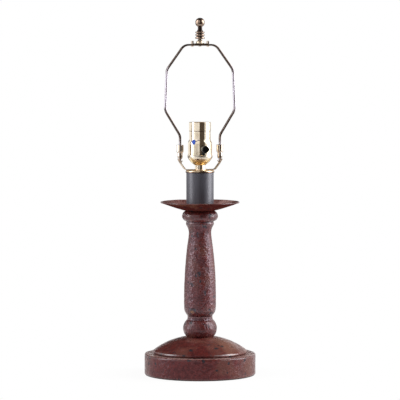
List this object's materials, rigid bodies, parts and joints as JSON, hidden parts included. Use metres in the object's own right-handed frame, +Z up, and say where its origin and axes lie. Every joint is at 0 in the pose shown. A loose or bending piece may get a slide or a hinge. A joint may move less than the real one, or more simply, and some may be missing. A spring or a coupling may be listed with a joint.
{
  "type": "table lamp",
  "caption": "Turned wooden table lamp, distressed barn-red paint, candle pan and cover, turn-knob brass bulb socket, detachable harp with swivel stud and ball finial; no shade.",
  "frame": {"origin": "centre of the felt foot, on the table top", "axes": "+Z up the lamp's axis; the harp lies in the XZ plane; the switch knob faces -Y; the cord hole faces +Y"},
  "size_m": [0.1672, 0.1672, 0.5361],
  "materials": {
    "red_painted_wood": "distressed satin barn-red paint",
    "red_painted_metal": "distressed satin barn-red paint on spun sheet",
    "charcoal_painted_metal": "satin charcoal paint",
    "polished_brass": "polished brass",
    "antique_brass": "dark antique brass",
    "zinc_steel": "zinc plated",
    "knob_plastic": "gloss black",
    "black_moulding": "matte moulded",
    "bushing_plastic": "matte brown moulded",
    "liner_card": "insulating card",
    "felt": "dark brown felt"
  },
  "bodies": {
    "lamp": {"felt_pad": "felt", "base_disc": "red_painted_wood", "cord_bushing": "bushing_plastic", "base_dome": "red_painted_wood", "spindle": "red_painted_wood", "lamp_pipe": "zinc_steel", "base_washer": "zinc_steel", "base_nut": "zinc_steel", "candle_pan": "red_painted_metal", "candle_cover": "charcoal_painted_metal", "cover_cap": "antique_brass", "harp_saddle": "polished_brass", "socket_neck": "polished_brass", "neck_set_screw": "polished_brass", "socket_cap": "polished_brass", "socket_shell": "polished_brass", "shell_liner": "liner_card", "socket_body": "black_moulding", "terminal_screws": "polished_brass", "screw_shell": "polished_brass", "centre_contact": "polished_brass"},
    "knob": {"switch_stem": "polished_brass", "turn_knob": "knob_plastic"},
    "harp": {"harp": "antique_brass", "harp_bracket": "antique_brass"},
    "ferrule_left": {"ferrule_left": "polished_brass"},
    "ferrule_right": {"ferrule_right": "polished_brass"},
    "swivel": {"shade_stud": "antique_brass"},
    "finial": {"finial": "antique_brass"}
  },
  "joints": [
    {"name": "knob_turn", "type": "hinge", "parent": "lamp", "child": "knob", "pos_m": [0, -0.0267, 0.34], "axis": [0, -1, 0], "continuous": true},
    {"name": "harp_lift", "type": "slide", "parent": "lamp", "child": "harp", "axis": [0, 0, 1], "range_m": [0, 0.03]},
    {"name": "ferrule_left_slide", "type": "slide", "parent": "harp", "child": "ferrule_left", "axis": [0, 0, 1], "range_m": [0, 0.012]},
    {"name": "ferrule_right_slide", "type": "slide", "parent": "harp", "child": "ferrule_right", "axis": [0, 0, 1], "range_m": [0, 0.012]},
    {"name": "stud_swivel", "type": "hinge", "parent": "harp", "child": "swivel", "pos_m": [0, 0, 0.4995], "axis": [0, 0, 1], "continuous": true},
    {"name": "finial_lift", "type": "slide", "parent": "swivel", "child": "finial", "axis": [0, 0, 1], "range_m": [0, 0.03]}
  ]
}
